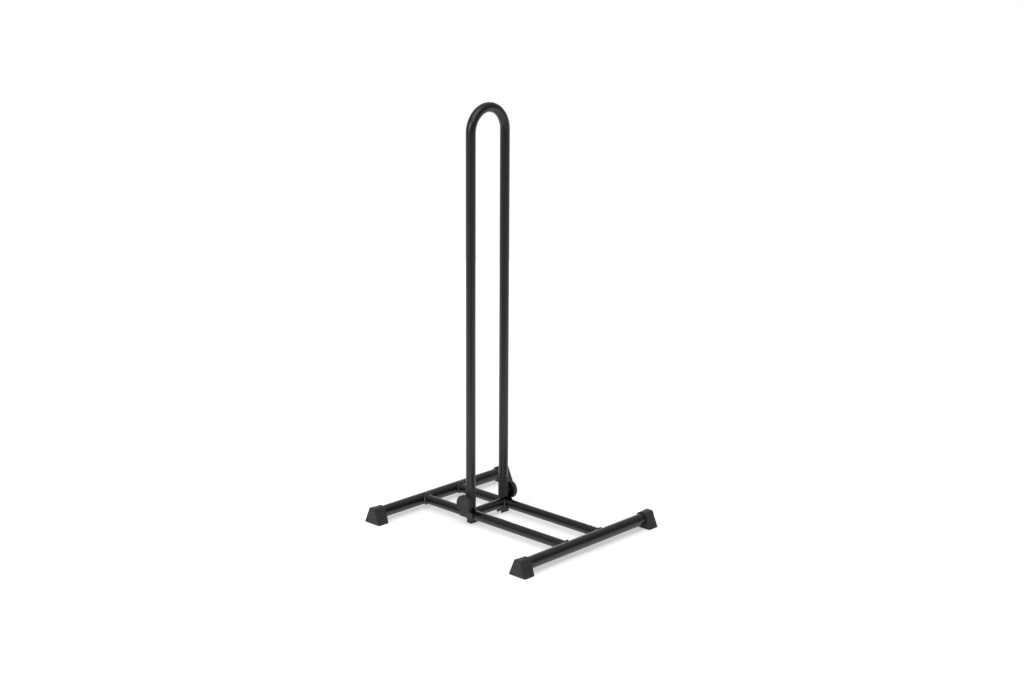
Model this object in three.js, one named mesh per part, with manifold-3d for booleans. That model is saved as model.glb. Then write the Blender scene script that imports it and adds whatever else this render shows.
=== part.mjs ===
// Folding floor rack for one bicycle wheel, in steel tube, with a clamped hoop that folds flat.
// Millimetres. The origin is the middle of the footprint on the floor. +X runs along the foot bars,
// +Y runs from the front, where the wheel rolls in, to the rear, and +Z is up.

import * as THREE from 'three';
import { ConvexGeometry } from 'three/addons/geometries/ConvexGeometry.js';
import { mergeVertices } from 'three/addons/utils/BufferGeometryUtils.js';
import Module from 'manifold-3d';

const wasm = await Module();
wasm.setup();

// Fits
const clearance = 0.3; // gap between neighbouring pieces
const overcut = 1; // how far a cutting body runs past what it cuts

// Foot bars
const barDiameter = 25.4;
const barWall = 1.5;
const barLength = 401.4;
const barSpacing = 424.6; // between the two bars' centre lines
const barHeight = 19.5; // centre line above the floor, shared by the rails and the cross tube

// Foot caps
const capLength = 28.5;
const capEndWall = 5.5;
const capBaseWidth = 46.8;
const capTopWidth = 16.6; // of the end face, before its corners are rounded
const capTopWall = 2.2; // over the bar
const capRound = 3; // radius of the end face's edges and of the base's corners
const capBaseEdge = 1; // small chamfer round the base
const capLip = 0.6; // collar that the bar enters
const capLipLength = 2.2;

// Rails and cross tube
const railDiameter = 20.6;
const railWall = 1.2;
const crossLead = 2; // cross tube's centre in front of the hoop

// Hoop
const hoopDiameter = 20.6;
const hoopWall = 1.2;
const hoopTop = 891.8; // overall height
const hoopPlane = 70.8; // behind the middle of the footprint
const legSpacing = 100;
const ventDiameter = 3;
const ventDrop = 6; // below the start of the bend
const ventTurn = 38; // degrees, from straight inward towards the front

// Leg fittings
const pivotHeight = 44.8;
const fittingDiameter = 21.9;
const fittingTop = 77.8; // where the tube of the leg starts
const fittingEnd = 14.2; // radius of the lower end, about the pivot
const fittingBoss = 16; // flat bearing face round the bolt
const spigotLength = 28;
const rivetHeight = 14; // above the shoulder of the fitting
const rivetDiameter = 4;
const rivetHead = 8;
const rivetHeadHeight = 1.1;
const rivetLength = 6;

// Hinge bolts
const boltDiameter = 6;
const boltHeadFlats = 10;
const boltHeadHeight = 3.4;
const boltHeadSink = 0.6; // below the inner side of the leg

// Brackets
const plate = 2; // thickness of the plate
const earRadius = 10; // round the pivot
const earWaistWidth = 23; // where the ear leaves the rail's top
const earWaistHeight = 28.8;
const earBaseWidth = 38; // along the rail's side
const earBaseTop = 23;
const earBaseBottom = 13;

// Middle feet
const footWidth = 15.1; // along the rail
const footLead = 3; // middle of the foot in front of the hoop
const footInner = 34.4; // open end, from the middle of the rack
const footOuter = 58.6;
const footClearance = 0.4; // under the foot
const bendRadius = 2.6; // outer radius of the plate's bends

// Washers
const frictionWasherThickness = 0.5;
const frictionWasherDiameter = 15;
const clampWasherThickness = 1.2;
const clampWasherDiameter = 16;

// Knobs
const knobDiameter = 40;
const knobThickness = 9.8;
const knobLobes = 20;
const knobLobeDepth = 0.7;
const knobEdge = 1.2; // chamfer round the face
const knobWall = 2.1; // of the skirt
const knobFace = 2.4; // thickness of the face
const knobHub = 15; // diameter of the hub round the insert
const knobRibs = 6;
const knobRibWidth = 1.6;
const knobRibDrop = 2.2; // ribs stop short of the skirt's edge by this much
const insertDiameter = 9;
const insertLength = 5.2;

// Facets
const tubeSides = 32;
const smallSides = 24;
const bendSteps = 20;
const lobePoints = 5;

// Places that follow from the dimensions above
const barRadius = barDiameter / 2;
const railRadius = railDiameter / 2;
const hoopRadius = hoopDiameter / 2;
const legX = legSpacing / 2;
const fittingRadius = fittingDiameter / 2;
const bossFace = legX + fittingRadius;
const frictionWasherFace = bossFace + clearance;
const earInner = frictionWasherFace + frictionWasherThickness + clearance;
const earOuter = earInner + plate;
const railX = earInner - clearance - railRadius;
const knobBack = earOuter + clearance;
const clampWasherFace = earOuter + clearance;
const hubBack = clampWasherFace + clampWasherThickness + clearance;
const insertDepth = insertLength + clearance; // bore for the insert, from the hub's back
const boltHole = boltDiameter + 2 * clearance;
const boltHeadFace = legX - fittingRadius + boltHeadSink;
const boltTip = hubBack + insertLength - clearance;
const crossY = hoopPlane - crossLead;
const frontY = -barSpacing / 2;
const rearY = barSpacing / 2;
const bendCentreHeight = hoopTop - hoopRadius - legX;
const spigotRadius = hoopRadius - hoopWall - clearance;

const sides = [
  ['left', -1],
  ['right', 1],
];

const steelBlack = { color: 0x1b1c1e, roughness: 0.38, metalness: 0.1 };
const plasticGrey = { color: 0x37383a, roughness: 0.72, metalness: 0 };
const plasticBlack = { color: 0x2b2c2e, roughness: 0.6, metalness: 0 };
const zinc = { color: 0x9a9ea3, roughness: 0.35, metalness: 1 };
const brass = { color: 0xb08d4a, roughness: 0.35, metalness: 1 };
const nylon = { color: 0xd8d6cf, roughness: 0.55, metalness: 0 };

// A closed geometry as a solid that can be joined and cut.
function toSolid(geometry) {
  const bare = geometry.index ? geometry.toNonIndexed() : geometry.clone();
  bare.deleteAttribute('normal');
  bare.deleteAttribute('uv');
  const merged = mergeVertices(bare, 1e-4);
  const mesh = new wasm.Mesh({
    numProp: 3,
    vertProperties: new Float32Array(merged.attributes.position.array),
    triVerts: new Uint32Array(merged.index.array),
  });
  return new wasm.Manifold(mesh);
}

function toGeometry(solid) {
  const mesh = solid.getMesh();
  const geometry = new THREE.BufferGeometry();
  geometry.setAttribute('position', new THREE.BufferAttribute(mesh.vertProperties, 3));
  geometry.setIndex(new THREE.BufferAttribute(mesh.triVerts, 1));
  geometry.computeVertexNormals();
  return geometry;
}

// First solid with the others joined to it or cut from it.
function joined(first, ...others) {
  return others.reduce((sum, geometry) => sum.add(toSolid(geometry)), toSolid(first));
}

function cut(solid, ...tools) {
  return tools.reduce((left, geometry) => left.subtract(toSolid(geometry)), solid);
}

// Cylinders along each axis, between two ends on that axis.
function cylinderX(radius, from, to, y, z, sides = smallSides) {
  const geometry = new THREE.CylinderGeometry(radius, radius, Math.abs(to - from), sides);
  geometry.rotateZ(Math.PI / 2);
  return geometry.translate((from + to) / 2, y, z);
}

function cylinderY(radius, from, to, x, z, sides = smallSides) {
  const geometry = new THREE.CylinderGeometry(radius, radius, Math.abs(to - from), sides);
  return geometry.translate(x, (from + to) / 2, z);
}

function cylinderZ(radius, from, to, x, y, sides = smallSides) {
  const geometry = new THREE.CylinderGeometry(radius, radius, Math.abs(to - from), sides);
  geometry.rotateX(Math.PI / 2);
  return geometry.translate(x, y, (from + to) / 2);
}

// Ring outline of a tube.
function ringShape(outer, inner, sides = tubeSides) {
  const shape = new THREE.Shape();
  shape.absarc(0, 0, outer, 0, 2 * Math.PI);
  const bore = new THREE.Path();
  bore.absarc(0, 0, inner, 0, 2 * Math.PI, true);
  shape.holes.push(bore);
  return { shape, segments: sides / 2 };
}

// Straight tube along +Z from the origin.
function tubeGeometry(outer, inner, length, sides = tubeSides) {
  const { shape, segments } = ringShape(outer, inner, sides);
  return new THREE.ExtrudeGeometry(shape, { depth: length, bevelEnabled: false, curveSegments: segments });
}

function piece(name, geometry, finish) {
  const mesh = new THREE.Mesh(geometry, new THREE.MeshStandardMaterial(finish));
  mesh.name = name;
  return mesh;
}

// ---- Base ----

// Tube of a foot bar, along X, centred on its own middle.
function footBarGeometry() {
  const geometry = tubeGeometry(barRadius, barRadius - barWall, barLength);
  geometry.translate(0, 0, -barLength / 2);
  return geometry.rotateY(Math.PI / 2);
}

// Rail along Y between the bars, with both ends coped to the bars' round sides.
function railGeometry() {
  const geometry = tubeGeometry(railRadius, railRadius - railWall, barSpacing);
  geometry.translate(0, 0, -barSpacing / 2);
  geometry.rotateX(Math.PI / 2);
  const reach = railRadius + overcut;
  const bars = [frontY, rearY].map((y) => cylinderX(barRadius + clearance, -reach, reach, y, 0, tubeSides));
  return toGeometry(cut(toSolid(geometry), ...bars));
}

// Cross tube along X between the rails, coped to the rails' round sides.
function crossTubeGeometry() {
  const geometry = tubeGeometry(railRadius, railRadius - railWall, 2 * railX);
  geometry.translate(0, 0, -railX);
  geometry.rotateY(Math.PI / 2);
  const reach = railRadius + overcut;
  const room = railRadius + clearance;
  const rails = [-railX, railX].map((x) => cylinderY(room, -reach, reach, x, 0, tubeSides));
  return toGeometry(cut(toSolid(geometry), ...rails));
}

// Closed hull round the points of some simple bodies.
function hullOf(...bodies) {
  const points = bodies.flatMap((body) => {
    const place = body.attributes.position;
    const corner = (_, index) => new THREE.Vector3().fromBufferAttribute(place, index);
    return Array.from({ length: place.count }, corner);
  });
  return new ConvexGeometry(points);
}

// Foot cap for the +X end of a bar, with its open end at x = 0 and its base on the floor. It runs from a
// round top over the bar to an end face with sloping sides and a narrow top.
function footCapGeometry() {
  const topRadius = barRadius + clearance + capTopWall;
  const top = barHeight + topRadius;
  const halfBase = capBaseWidth / 2;
  const lean = (capBaseWidth - capTopWidth) / 2;
  const slope = Math.hypot(top, lean);
  const ballHeight = top - capRound;
  const ballY = halfBase - (capRound * slope + lean * ballHeight) / top;
  const cornerY = halfBase - capRound - (capBaseEdge * lean) / top;
  const outerX = capLength - capRound;
  const corners = [-1, 1].flatMap((side) => {
    const ball = new THREE.SphereGeometry(capRound, 16, 8).translate(outerX, side * ballY, ballHeight);
    const base = [capRound, outerX].map((x) => {
      const disc = new THREE.CylinderGeometry(capRound, capRound - capBaseEdge, capBaseEdge, 16);
      return disc.rotateX(Math.PI / 2).translate(x, side * cornerY, capBaseEdge / 2);
    });
    return [ball, ...base];
  });
  const body = hullOf(cylinderX(topRadius, 0, capLipLength, 0, barHeight, tubeSides), ...corners);
  const collar = cylinderX(topRadius + capLip, 0, capLipLength, 0, barHeight, tubeSides);
  const skirt = new THREE.BoxGeometry(capLipLength, 2 * cornerY, 1).translate(capLipLength / 2, 0, 0.5);
  const bore = cylinderX(barRadius + clearance, -overcut, capLength - capEndWall, 0, barHeight, tubeSides);
  return toGeometry(cut(joined(body, hullOf(collar, skirt)), bore));
}

// Ear plate on the outer side of one rail, for side -1 or 1. Its origin is on the floor under the hoop's
// plane.
function bracketGeometry(side) {
  const halfWaist = earWaistWidth / 2;
  const halfBase = earBaseWidth / 2;
  const drop = pivotHeight - earWaistHeight;
  const lean = Math.atan2(halfWaist, drop) - Math.acos(earRadius / Math.hypot(halfWaist, drop));
  const start = Math.PI / 2 - lean;
  const ear = new THREE.Shape();
  ear.moveTo(-halfBase, earBaseBottom);
  ear.lineTo(halfBase, earBaseBottom);
  ear.lineTo(halfBase, earBaseTop);
  ear.lineTo(halfWaist, earWaistHeight);
  ear.absarc(0, pivotHeight, earRadius, Math.PI / 2 - start, Math.PI / 2 + start);
  ear.lineTo(-halfWaist, earWaistHeight);
  ear.lineTo(-halfBase, earBaseTop);
  ear.closePath();
  const hole = new THREE.Path();
  hole.absarc(0, pivotHeight, boltHole / 2, 0, 2 * Math.PI, true);
  ear.holes.push(hole);
  const upright = new THREE.ExtrudeGeometry(ear, { depth: plate, bevelEnabled: false, curveSegments: 12 });
  upright.rotateX(Math.PI / 2);
  upright.rotateZ(Math.PI / 2);
  return upright.translate(side > 0 ? earInner : -earOuter, 0, 0);
}

// Plate bent to a channel under one rail, for side -1 or 1. It is open towards the other rail and coped
// to the rail and the cross tube. Its origin is on the floor under the hoop's plane.
function middleFootGeometry(side) {
  const front = -footLead - footWidth / 2;
  const rear = -footLead + footWidth / 2;
  const outerX = side * footOuter;
  const innerX = side * (footOuter - plate);
  const endX = side * footInner;
  const innerBend = bendRadius - plate;
  const channel = new THREE.Shape();
  channel.moveTo(endX, front);
  channel.lineTo(outerX - side * bendRadius, front);
  channel.quadraticCurveTo(outerX, front, outerX, front + bendRadius);
  channel.lineTo(outerX, rear - bendRadius);
  channel.quadraticCurveTo(outerX, rear, outerX - side * bendRadius, rear);
  channel.lineTo(endX, rear);
  channel.lineTo(endX, rear - plate);
  channel.lineTo(innerX - side * innerBend, rear - plate);
  channel.quadraticCurveTo(innerX, rear - plate, innerX, rear - plate - innerBend);
  channel.lineTo(innerX, front + plate + innerBend);
  channel.quadraticCurveTo(innerX, front + plate, innerX - side * innerBend, front + plate);
  channel.lineTo(endX, front + plate);
  channel.closePath();
  const height = barHeight - railRadius / 2 - footClearance;
  const foot = new THREE.ExtrudeGeometry(channel, { depth: height, bevelEnabled: false, curveSegments: 4 });
  foot.translate(0, 0, footClearance);
  const room = railRadius + clearance;
  const reach = footWidth + footLead;
  const rail = cylinderY(room, -reach, reach, side * railX, barHeight, tubeSides);
  const cross = cylinderX(room, 0, side * railX, -crossLead, barHeight, tubeSides);
  return toGeometry(cut(toSolid(foot), rail, cross));
}

// ---- Hoop ----

// Centre line of the hoop: up one leg, round the half circle and down the other.
class HoopPath extends THREE.Curve {
  constructor(radius, start, top) {
    super();
    this.radius = radius;
    this.start = start;
    this.top = top;
    this.steps = bendSteps + 2;
  }

  getPoint(t, target = new THREE.Vector3()) {
    const step = t * this.steps;
    if (step < 1) {
      return target.set(-this.radius, 0, this.start + (this.top - this.start) * step);
    }
    if (step > this.steps - 1) {
      return target.set(this.radius, 0, this.start + (this.top - this.start) * (this.steps - step));
    }
    const angle = Math.PI * (1 - (step - 1) / bendSteps);
    return target.set(this.radius * Math.cos(angle), 0, this.top + this.radius * Math.sin(angle));
  }

  getPointAt(u, target) {
    return this.getPoint(u, target);
  }

  getTangentAt(u, target = new THREE.Vector3()) {
    const step = u * this.steps;
    const angle = Math.PI * (1 - THREE.MathUtils.clamp((step - 1) / bendSteps, 0, 1));
    return target.set(Math.sin(angle), 0, -Math.cos(angle));
  }
}

// Hoop tube with a vent hole. Its origin is on the pivot axis, midway between the legs.
function hoopGeometry() {
  const start = fittingTop + clearance - pivotHeight;
  const path = new HoopPath(legX, start, bendCentreHeight - pivotHeight);
  const { shape, segments } = ringShape(hoopRadius, hoopRadius - hoopWall);
  const tube = new THREE.ExtrudeGeometry(shape, {
    steps: path.steps,
    extrudePath: path,
    curveSegments: segments,
  });
  const vent = new THREE.CylinderGeometry(ventDiameter / 2, ventDiameter / 2, hoopRadius, 12);
  vent.rotateZ(Math.PI / 2);
  vent.translate(-hoopRadius, 0, 0);
  vent.rotateZ(THREE.MathUtils.degToRad(ventTurn));
  vent.translate(legX, 0, bendCentreHeight - pivotHeight - ventDrop);
  const rivetHoles = [-legX, legX].map((x) => {
    return cylinderY(rivetDiameter / 2 + clearance, 0, hoopRadius + overcut, x, start + rivetHeight);
  });
  return toGeometry(cut(toSolid(tube), vent, ...rivetHoles));
}

// End piece of a leg, for side -1 or 1. Its origin is where the pivot axis meets the leg's axis.
function legFittingGeometry(side) {
  const shoulder = fittingTop - pivotHeight;
  const barrel = cylinderZ(fittingRadius, 0, shoulder, 0, 0, tubeSides);
  const arc = cylinderX(fittingEnd, -fittingRadius, fittingRadius, 0, 0, tubeSides);
  const stub = cylinderZ(fittingRadius, -fittingEnd - overcut, overcut, 0, 0, tubeSides);
  const roundEnd = toSolid(arc).intersect(toSolid(stub));
  const boss = cylinderX(fittingBoss / 2, 0, side * fittingRadius, 0, 0);
  const spigot = cylinderZ(spigotRadius, shoulder - overcut, shoulder + spigotLength, 0, 0);
  const pocketDepth = boltHeadSink + boltHeadHeight + clearance;
  const pocketRadius = (boltHeadFlats / 2 + clearance) / Math.cos(Math.PI / 6);
  const innerSide = -side * fittingRadius;
  const pocketEnd = innerSide + side * pocketDepth;
  const pocket = cylinderX(pocketRadius, innerSide - side * overcut, pocketEnd, 0, 0, 6);
  const through = cylinderX(boltHole / 2, -side * fittingRadius, side * (fittingRadius + overcut), 0, 0);
  const rivetZ = shoulder + clearance + rivetHeight;
  const rivetEnd = hoopRadius - rivetLength - clearance;
  const rivetHole = cylinderY(rivetDiameter / 2 + clearance, rivetEnd, hoopRadius, 0, rivetZ);
  const body = joined(barrel, boss, spigot).add(roundEnd);
  return toGeometry(cut(body, pocket, through, rivetHole));
}

// Blind rivet in the rear of a leg, with its head on the tube.
function rivetGeometry() {
  const headStart = hoopRadius + clearance;
  const profile = [
    new THREE.Vector2(0, hoopRadius - rivetLength),
    new THREE.Vector2(rivetDiameter / 2, hoopRadius - rivetLength),
    new THREE.Vector2(rivetDiameter / 2, headStart),
    new THREE.Vector2(rivetHead / 2, headStart),
    new THREE.Vector2(rivetHead / 4, headStart + rivetHeadHeight),
    new THREE.Vector2(0, headStart + rivetHeadHeight),
  ];
  return new THREE.LatheGeometry(profile, smallSides);
}

// ---- Hinge hardware, along +Z from the leg's axis outwards ----

function boltGeometry() {
  const headStart = boltHeadFace - legX;
  const headEnd = headStart + boltHeadHeight;
  const headRadius = boltHeadFlats / 2 / Math.cos(Math.PI / 6);
  const head = cylinderZ(headRadius, headStart, headEnd, 0, 0, 6);
  head.rotateZ(Math.PI / 6); // corners where the pocket of the leg fitting has its own
  const shank = cylinderZ(boltDiameter / 2, headEnd - overcut, boltTip - legX, 0, 0);
  return toGeometry(joined(head, shank));
}

function washerGeometry(diameter, thickness) {
  return tubeGeometry(diameter / 2, boltHole / 2, thickness, smallSides);
}

// Round knob with a fluted rim and a hollow back. Its origin is the middle of the skirt's edge.
function knobGeometry() {
  const outline = (radius) => {
    const count = knobLobes * lobePoints;
    const points = Array.from({ length: count }, (_, index) => {
      const angle = (2 * Math.PI * index) / count;
      const flute = (knobLobeDepth * (1 - Math.cos(knobLobes * angle))) / 2;
      return new THREE.Vector2(Math.cos(angle), Math.sin(angle)).multiplyScalar(radius - flute);
    });
    return new THREE.Shape(points);
  };
  const rim = new THREE.ExtrudeGeometry(outline(knobDiameter / 2), {
    depth: knobThickness - knobEdge,
    bevelEnabled: true,
    bevelThickness: knobEdge,
    bevelSize: knobEdge,
    bevelOffset: -knobEdge,
    bevelSegments: 2,
  });
  const size = 2 * knobDiameter;
  const behind = new THREE.BoxGeometry(size, size, size).translate(0, 0, -size / 2);
  const cavityRadius = knobDiameter / 2 - knobLobeDepth - knobWall;
  const cavityDepth = knobThickness - knobFace;
  const cavity = cylinderZ(cavityRadius, -overcut, cavityDepth, 0, 0, tubeSides);
  const shell = cut(toSolid(rim), behind, cavity);
  const hubStart = hubBack - knobBack;
  const hub = cylinderZ(knobHub / 2, hubStart, knobThickness - overcut, 0, 0);
  const ribs = Array.from({ length: knobRibs }, (_, index) => {
    const ribStart = hubStart + knobRibDrop;
    const reach = cavityRadius + overcut / 2;
    const height = cavityDepth - ribStart + overcut / 2;
    const rib = new THREE.BoxGeometry(reach, knobRibWidth, height);
    rib.translate(reach / 2, 0, ribStart + height / 2);
    return rib.rotateZ((2 * Math.PI * index) / knobRibs);
  });
  const bore = cylinderZ(insertDiameter / 2 + clearance, hubStart - overcut, hubStart + insertDepth, 0, 0);
  const full = [hub, ...ribs].reduce((sum, geometry) => sum.add(toSolid(geometry)), shell);
  return toGeometry(cut(full, bore));
}

// ---- Assembly ----

function buildBase() {
  const base = new THREE.Group();
  const bars = [
    ['front', frontY],
    ['rear', rearY],
  ];
  for (const [end, y] of bars) {
    const bar = piece(`${end}_foot_bar`, footBarGeometry(), steelBlack);
    bar.position.set(0, y, barHeight);
    base.add(bar);
    for (const [name, side] of sides) {
      const cap = piece(`${end}_${name}_foot_cap`, footCapGeometry(), plasticGrey);
      cap.position.set(side * (barLength / 2 + clearance + capEndWall - capLength), y, 0);
      cap.rotation.z = side > 0 ? 0 : Math.PI;
      base.add(cap);
    }
  }
  for (const [name, side] of sides) {
    const rail = piece(`${name}_rail`, railGeometry(), steelBlack);
    rail.position.set(side * railX, 0, barHeight);
    const bracket = piece(`${name}_hinge_bracket`, bracketGeometry(side), steelBlack);
    bracket.position.set(0, hoopPlane, 0);
    const foot = piece(`${name}_middle_foot`, middleFootGeometry(side), steelBlack);
    foot.position.set(0, hoopPlane, 0);
    const clampRing = washerGeometry(clampWasherDiameter, clampWasherThickness);
    const washer = piece(`${name}_clamp_washer`, clampRing, zinc);
    washer.position.set(side * clampWasherFace, hoopPlane, pivotHeight);
    washer.rotation.y = (side * Math.PI) / 2;
    base.add(rail, bracket, foot, washer);
  }
  const cross = piece('cross_tube', crossTubeGeometry(), steelBlack);
  cross.position.set(0, crossY, barHeight);
  base.add(cross);
  return base;
}

// The hoop and what folds with it. The group's origin is on the pivot axis.
function buildHoop() {
  const hoop = new THREE.Group();
  hoop.position.set(0, hoopPlane, pivotHeight);
  hoop.add(piece('hoop', hoopGeometry(), steelBlack));
  for (const [name, side] of sides) {
    const leg = new THREE.Group();
    leg.position.x = side * legX;
    leg.add(piece(`${name}_leg_fitting`, legFittingGeometry(side), plasticGrey));
    const rivet = piece(`${name}_fitting_rivet`, rivetGeometry(), zinc);
    rivet.position.z = fittingTop + clearance + rivetHeight - pivotHeight;
    leg.add(rivet);

    const outward = new THREE.Group();
    outward.rotation.y = (side * Math.PI) / 2;
    outward.add(piece(`${name}_hinge_bolt`, boltGeometry(), zinc));
    const friction = washerGeometry(frictionWasherDiameter, frictionWasherThickness);
    const washer = piece(`${name}_friction_washer`, friction, nylon);
    washer.position.z = frictionWasherFace - legX;
    const knob = piece(`${name}_knob`, knobGeometry(), plasticBlack);
    knob.position.z = knobBack - legX;
    const insertTube = tubeGeometry(insertDiameter / 2, boltHole / 2, insertLength, smallSides);
    const insert = piece(`${name}_knob_insert`, insertTube, brass);
    insert.position.z = hubBack - legX;
    outward.add(washer, knob, insert);
    leg.add(outward);
    hoop.add(leg);
  }
  return hoop;
}

const rack = new THREE.Group();
rack.add(buildBase(), buildHoop());

export default rack;
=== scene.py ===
import math

import bmesh
import bpy
from mathutils import Matrix, Vector


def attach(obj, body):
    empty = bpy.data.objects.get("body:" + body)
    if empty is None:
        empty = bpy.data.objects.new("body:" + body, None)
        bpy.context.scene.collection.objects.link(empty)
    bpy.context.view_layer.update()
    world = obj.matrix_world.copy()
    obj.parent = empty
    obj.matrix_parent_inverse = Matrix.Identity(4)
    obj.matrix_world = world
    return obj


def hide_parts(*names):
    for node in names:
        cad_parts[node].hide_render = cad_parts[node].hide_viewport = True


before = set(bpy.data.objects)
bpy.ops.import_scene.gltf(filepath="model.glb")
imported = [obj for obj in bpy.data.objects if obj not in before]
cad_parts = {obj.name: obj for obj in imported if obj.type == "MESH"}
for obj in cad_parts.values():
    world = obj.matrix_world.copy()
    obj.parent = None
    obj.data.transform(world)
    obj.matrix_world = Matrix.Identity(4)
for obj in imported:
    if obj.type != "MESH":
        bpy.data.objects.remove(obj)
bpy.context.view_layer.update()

scene = bpy.context.scene
scene.view_settings.view_transform = "Standard"

# The pieces are made in millimetres and brought to metres when they are placed.
toMetres = Matrix.Scale(0.001, 4)
sides = (("left", -1), ("right", 1))
ends = (("front", -1), ("rear", 1))

# Places that several pieces share
layout = {
    "barSpacing": 424.6,
    "barHeight": 19.5,
    "barRadius": 12.7,
    "barLength": 401.4,
    "railX": 51.45,
    "railRadius": 10.3,
    "crossLead": 2.0,
    "hoopPlane": 70.8,
    "legX": 50.0,
    "pivotHeight": 44.8,
    "fittingTop": 77.8,
    "earInner": 62.05,
    "earOuter": 64.05,
    "boltHole": 6.6,
}
layout["barY"] = layout["barSpacing"] / 2
pivot = Vector((0, layout["hoopPlane"], layout["pivotHeight"]))


# ---- Camera ----

cameraView = {
    "lens": 61.665,
    "azimuth": -46.52,
    "elevation": 14.552,
    "roll": 0.343,
    "distance": 3.744953,
    "target": (0.074816, 0.0708, 0.375452),
}


def addCamera(values):
    a, e, r = (math.radians(values[key]) for key in ("azimuth", "elevation", "roll"))
    back = Vector((math.sin(a) * math.cos(e), -math.cos(a) * math.cos(e), math.sin(e)))
    level = Vector((math.cos(a), math.sin(a), 0))
    up = back.cross(level)
    right = level * math.cos(r) + up * math.sin(r)
    camera = bpy.data.objects.new("camera", bpy.data.cameras.new("camera"))
    camera.data.lens = values["lens"]
    camera.data.sensor_width = 36
    camera.data.clip_end = 100
    turn = Matrix((right, back.cross(right), back)).transposed().to_4x4()
    camera.matrix_world = Matrix.Translation(Vector(values["target"]) + back * values["distance"]) @ turn
    scene.collection.objects.link(camera)
    scene.camera = camera


addCamera(cameraView)
print("camera placed")


# ---- Materials ----

def startMaterial(name):
    material = bpy.data.materials.new(name)
    material.use_nodes = True
    nodes, links = material.node_tree.nodes, material.node_tree.links
    return material, nodes, links, nodes["Principled BSDF"]


def addNoise(nodes, links, coords, scale, detail=3.0, roughness=0.55, stretch=None):
    noise = nodes.new("ShaderNodeTexNoise")
    noise.inputs["Scale"].default_value = scale
    noise.inputs["Detail"].default_value = detail
    noise.inputs["Roughness"].default_value = roughness
    source = coords
    if stretch:
        mapping = nodes.new("ShaderNodeMapping")
        mapping.inputs["Scale"].default_value = stretch
        links.new(coords, mapping.inputs["Vector"])
        source = mapping.outputs["Vector"]
    links.new(source, noise.inputs["Vector"])
    return noise.outputs["Fac"]


def mapTo(nodes, links, value, low, high, fromLow=0.3, fromHigh=0.7):
    ranged = nodes.new("ShaderNodeMapRange")
    ranged.inputs["From Min"].default_value = fromLow
    ranged.inputs["From Max"].default_value = fromHigh
    ranged.inputs["To Min"].default_value = low
    ranged.inputs["To Max"].default_value = high
    links.new(value, ranged.inputs["Value"])
    return ranged.outputs["Result"]


def blendColours(nodes, links, value, first, second, fromLow=0.35, fromHigh=0.65):
    ramp = nodes.new("ShaderNodeValToRGB")
    ramp.color_ramp.elements[0].position = fromLow
    ramp.color_ramp.elements[1].position = fromHigh
    ramp.color_ramp.elements[0].color = (*first, 1)
    ramp.color_ramp.elements[1].color = (*second, 1)
    links.new(value, ramp.inputs["Fac"])
    return ramp.outputs["Color"]


def addBump(nodes, links, height, distance, strength=1.0, below=None):
    bump = nodes.new("ShaderNodeBump")
    bump.inputs["Distance"].default_value = distance
    bump.inputs["Strength"].default_value = strength
    links.new(height, bump.inputs["Height"])
    if below:
        links.new(below, bump.inputs["Normal"])
    return bump.outputs["Normal"]


powderCoatValues = {
    "dark": (0.0042, 0.0043, 0.0046),
    "light": (0.0060, 0.0061, 0.0065),
    "cloudScale": 38.0,
    "roughness": (0.21, 0.29),
    "smearScale": 120.0,
    "peelScale": 620.0,
    "peelHeight": 0.00004,
    "specular": 0.5,
}


def makePowderCoat(name, values):
    material, nodes, links, shader = startMaterial(name)
    coords = nodes.new("ShaderNodeTexCoord").outputs["Object"]
    cloud = addNoise(nodes, links, coords, values["cloudScale"])
    links.new(blendColours(nodes, links, cloud, values["dark"], values["light"]), shader.inputs["Base Color"])
    smear = addNoise(nodes, links, coords, values["smearScale"], detail=5)
    links.new(mapTo(nodes, links, smear, *values["roughness"]), shader.inputs["Roughness"])
    peel = addNoise(nodes, links, coords, values["peelScale"], detail=1.5)
    links.new(addBump(nodes, links, peel, values["peelHeight"]), shader.inputs["Normal"])
    shader.inputs["Specular IOR Level"].default_value = values["specular"]
    return material


weldCoatValues = {
    **powderCoatValues,
    "roughness": (0.14, 0.22),
    "smearScale": 300.0,
    "peelScale": 420.0,
    "peelHeight": 0.00022,
    "specular": 1.0,
}


mouldedValues = {
    "cloudScale": 55.0,
    "patchScale": 260.0,
    "waveScale": 90.0,
    "waveHeight": 0.00025,
    "waveStrength": 0.6,
    "foot": {
        "dark": (0.0290, 0.0293, 0.0302),
        "light": (0.0345, 0.0348, 0.0358),
        "roughness": (0.50, 0.62),
        "grainScale": 1500.0,
        "grainHeight": 0.00010,
        "specular": 0.40,
    },
    "fitting": {
        "dark": (0.0200, 0.0203, 0.0210),
        "light": (0.0245, 0.0248, 0.0255),
        "roughness": (0.46, 0.58),
        "grainScale": 1700.0,
        "grainHeight": 0.00007,
        "specular": 0.42,
    },
    "knob": {
        "dark": (0.0265, 0.0269, 0.0277),
        "light": (0.0325, 0.0329, 0.0337),
        "roughness": (0.50, 0.62),
        "grainScale": 1500.0,
        "grainHeight": 0.00009,
        "specular": 0.42,
    },
}


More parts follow.
